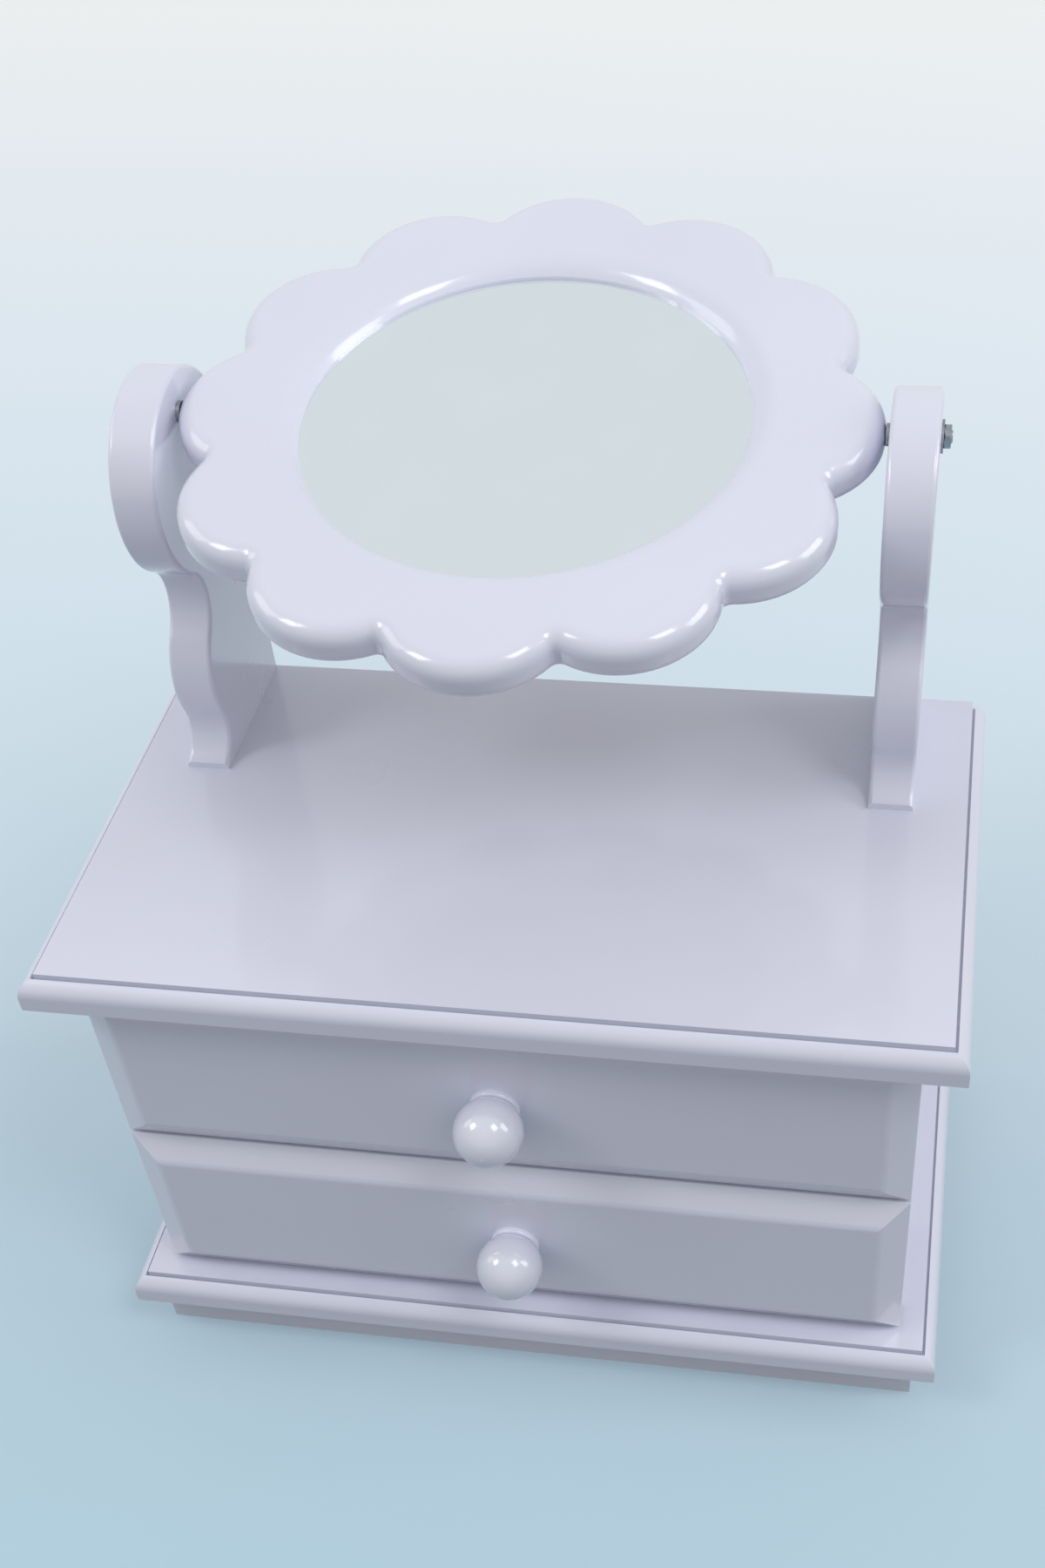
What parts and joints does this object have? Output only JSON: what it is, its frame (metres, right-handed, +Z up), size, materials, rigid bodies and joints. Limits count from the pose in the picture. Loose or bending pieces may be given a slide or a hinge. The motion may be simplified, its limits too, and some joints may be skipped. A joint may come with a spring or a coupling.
{
  "type": "makeup box",
  "caption": "White painted vanity box with stacked drawers between moulded boards and a flower-shaped mirror that turns between two shaped posts on top.",
  "frame": {"origin": "on the floor, under the middle of the top and base boards", "axes": "+X to the right, +Y to the back, +Z up; the drawers open towards -Y"},
  "size_m": [0.3, 0.2629, 0.3383],
  "materials": {
    "white_paint": "gloss white paint on fibreboard",
    "white_knob": "gloss white paint on turned wood",
    "raw_board": "bare fibreboard",
    "mirror_glass": "silvered glass",
    "hardboard": "brown hardboard",
    "dark_steel": "dark blued steel",
    "zinc_steel": "zinc plated steel",
    "dowel_wood": "bare beech"
  },
  "bodies": {
    "carcass": {"plinth": "white_paint", "base_board": "white_paint", "top_board": "white_paint", "side_left": "white_paint", "side_right": "white_paint", "back_panel": "white_paint", "drawer_shelf": "raw_board", "post_left": "white_paint", "post_right": "white_paint", "base_screws": "zinc_steel", "post_screws": "zinc_steel", "top_dowels": "dowel_wood"},
    "mirror": {"mirror_frame": "white_paint", "mirror_glass": "mirror_glass", "mirror_backing": "hardboard", "backing_pins": "zinc_steel", "pivot_bolt_left": "dark_steel", "pivot_bolt_right": "dark_steel", "pivot_spacers": "dark_steel", "pivot_washers": "dark_steel", "pivot_nuts": "dark_steel"},
    "upper_drawer": {"upper_front": "white_paint", "upper_side_left": "raw_board", "upper_side_right": "raw_board", "upper_back": "raw_board", "upper_bottom": "raw_board", "upper_knob": "white_knob", "upper_knob_screw": "zinc_steel"},
    "lower_drawer": {"lower_front": "white_paint", "lower_side_left": "raw_board", "lower_side_right": "raw_board", "lower_back": "raw_board", "lower_bottom": "raw_board", "lower_knob": "white_knob", "lower_knob_screw": "zinc_steel"}
  },
  "joints": [
    {"name": "upper_drawer_slide", "type": "slide", "parent": "carcass", "child": "upper_drawer", "axis": [0, -1, 0], "range_m": [0, 0.1]},
    {"name": "lower_drawer_slide", "type": "slide", "parent": "carcass", "child": "lower_drawer", "axis": [0, -1, 0], "range_m": [0, 0.1]},
    {"name": "mirror_tilt", "type": "hinge", "parent": "carcass", "child": "mirror", "pos_m": [0, 0.05305, 0.3142], "axis": [1, 0, 0], "continuous": true}
  ]
}
